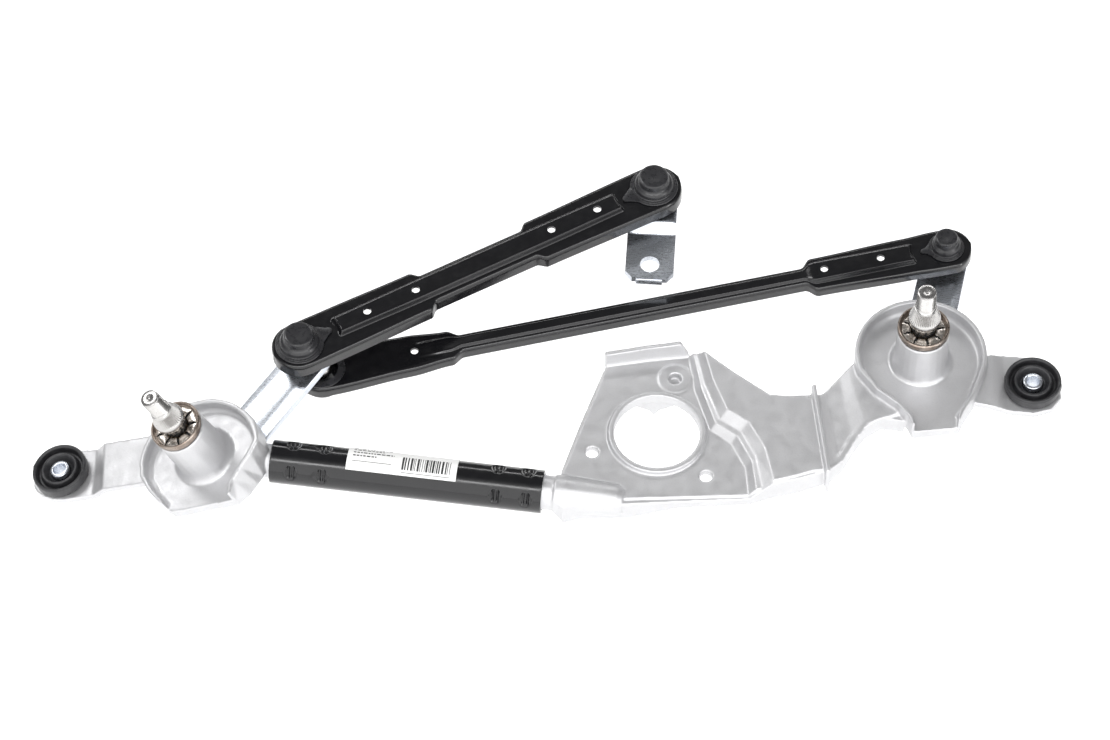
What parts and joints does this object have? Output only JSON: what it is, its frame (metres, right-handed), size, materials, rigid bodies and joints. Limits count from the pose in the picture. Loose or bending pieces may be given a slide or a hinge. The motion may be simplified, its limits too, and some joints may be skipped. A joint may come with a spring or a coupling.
{
  "type": "windshield wiper linkage",
  "caption": "Wiper linkage with two pivot castings on a cross tube, leaning spindles with levers, stamped links with ball sockets and a crank arm, without its motor.",
  "frame": {"origin": "centre of the right spindle's end face", "axes": "+Z out along the right spindle, +X from the left pivot to the right pivot, +Y from the pivots towards the links"},
  "size_m": [0.5296, 0.1958, 0.1135],
  "materials": {
    "cast_aluminium": "satin as cast",
    "black_enamel": "gloss",
    "black_plastic": "satin",
    "rubber": "matte",
    "zinc_plate": "bright zinc plate",
    "bright_steel": "bright",
    "dark_spring_steel": "oiled",
    "sintered_bronze": "matte",
    "label_paper": "matte"
  },
  "bodies": {
    "frame": {"left_pivot_housing": "cast_aluminium", "motor_bracket": "cast_aluminium", "cross_tube": "black_enamel", "tube_label": "label_paper", "left_seal_ring": "rubber", "right_seal_ring": "rubber", "left_upper_bush": "sintered_bronze", "right_upper_bush": "sintered_bronze", "left_lower_bush": "sintered_bronze", "right_lower_bush": "sintered_bronze", "left_thrust_washer": "dark_spring_steel", "right_thrust_washer": "dark_spring_steel", "left_grommet": "rubber", "right_grommet": "rubber", "left_grommet_sleeve": "zinc_plate", "right_grommet_sleeve": "zinc_plate"},
    "left_rocker": {"left_spindle": "bright_steel", "left_lock_ring": "dark_spring_steel", "left_lever": "zinc_plate", "left_double_ball_stud": "bright_steel"},
    "right_rocker": {"right_spindle": "bright_steel", "right_lock_ring": "dark_spring_steel", "right_lever": "zinc_plate", "right_ball_stud": "bright_steel"},
    "long_link": {"long_link_rod": "black_enamel", "long_link_left_socket": "black_plastic", "long_link_right_socket": "black_plastic"},
    "short_link": {"short_link_rod": "black_enamel", "short_link_left_socket": "black_plastic", "short_link_right_socket": "black_plastic"},
    "crank": {"crank_arm": "zinc_plate", "crank_ball_stud": "bright_steel"}
  },
  "joints": [
    {"name": "left_spindle_turn", "type": "hinge", "parent": "frame", "child": "left_rocker", "pos_m": [-0.36189, -0.05064, -0.08496], "axis": [-0.3651, -0.0972, 0.9259], "range_deg": [-5, 50]},
    {"name": "right_spindle_turn", "type": "hinge", "parent": "frame", "child": "right_rocker", "pos_m": [0, 0, -0.075], "axis": [0, 0, 1], "range_deg": [-4, 39.5]},
    {"name": "long_link_swing", "type": "hinge", "parent": "right_rocker", "child": "long_link", "pos_m": [0.01649, 0.07316, -0.063], "axis": [0.0698, 0.0666, 0.9953], "range_deg": [-45, 4.6]},
    {"name": "short_link_swing", "type": "hinge", "parent": "left_rocker", "child": "short_link", "pos_m": [-0.3192, 0.00042, -0.04765], "axis": [0, 0, 1], "range_deg": [-15, 40]},
    {"name": "crank_turn", "type": "hinge", "parent": "short_link", "child": "crank", "pos_m": [-0.1365, 0.0963, -0.041], "axis": [0, 0, 1], "continuous": true}
  ],
  "couplings": [
    {"joint": "right_spindle_turn", "follows": "left_spindle_turn", "ratio": 0.7851},
    {"joint": "long_link_swing", "follows": "left_spindle_turn", "ratio": -0.8951}
  ]
}
